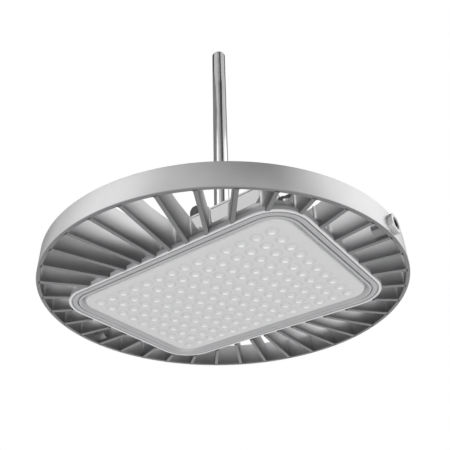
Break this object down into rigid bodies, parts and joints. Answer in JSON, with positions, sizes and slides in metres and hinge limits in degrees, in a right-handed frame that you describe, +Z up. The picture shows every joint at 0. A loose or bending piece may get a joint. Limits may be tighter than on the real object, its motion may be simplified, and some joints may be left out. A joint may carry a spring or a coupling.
{
  "type": "high bay light",
  "caption": "Round finned high bay light with a rectangular lens cover below, a driver housing above it and a pipe to hang it by.",
  "frame": {"origin": "middle of the rim's bottom edge, which the light can stand on", "axes": "+Z up along the suspension pipe, +X along the window's long side"},
  "size_m": [0.46, 0.45, 0.461],
  "materials": {
    "cast_aluminium": "satin die cast, pale grey",
    "frame_plastic": "satin grey coating",
    "black_rubber": "matt",
    "white_plastic": "matt white",
    "lens_plastic": "clear moulded lens plastic",
    "grey_pad": "matt",
    "board_white": "white solder mask",
    "polished_steel": "polished",
    "black_plastic": "matt black",
    "driver_case": "satin",
    "plated_steel": "zinc plated"
  },
  "bodies": {
    "root": {"breather_cap": "black_plastic", "cover_screw_1": "plated_steel", "cover_screw_2": "plated_steel", "cover_screw_3": "plated_steel", "cover_screw_4": "plated_steel", "cover_screw_5": "plated_steel", "cover_screw_6": "plated_steel", "cover_screw_7": "plated_steel", "cover_screw_8": "plated_steel", "cover_seal": "black_rubber", "driver_housing": "cast_aluminium", "earth_screw": "plated_steel", "frame_screw_01": "plated_steel", "frame_screw_02": "plated_steel", "frame_screw_03": "plated_steel", "frame_screw_04": "plated_steel", "frame_screw_05": "plated_steel", "frame_screw_06": "plated_steel", "frame_screw_07": "plated_steel", "frame_screw_08": "plated_steel", "frame_screw_09": "plated_steel", "frame_screw_10": "plated_steel", "frame_screw_11": "plated_steel", "frame_screw_12": "plated_steel", "gland_body": "black_plastic", "gland_cap": "black_plastic", "gland_nut": "black_plastic", "heat_sink": "cast_aluminium", "housing_cover": "cast_aluminium", "housing_seal": "black_rubber", "hub_bolt_1": "plated_steel", "hub_bolt_2": "plated_steel", "hub_bolt_3": "plated_steel", "hub_bolt_4": "plated_steel", "led_board_left": "board_white", "led_board_right": "board_white", "led_driver_left": "driver_case", "led_driver_right": "driver_case", "lens_cover": "lens_plastic", "lens_frame": "frame_plastic", "nipple_nut_high": "plated_steel", "nipple_nut_low": "plated_steel", "pole": "polished_steel", "pole_hub": "cast_aluminium", "pole_nut": "plated_steel", "pole_washer": "plated_steel", "post_1": "plated_steel", "post_2": "plated_steel", "post_3": "plated_steel", "post_4": "plated_steel", "reflector": "white_plastic", "side_bush_left": "plated_steel", "side_bush_right": "plated_steel", "surge_protector": "black_plastic", "terminal_block": "white_plastic", "thermal_pad_left": "grey_pad", "thermal_pad_right": "grey_pad", "wiring_nipple": "plated_steel"}
  },
  "joints": []
}
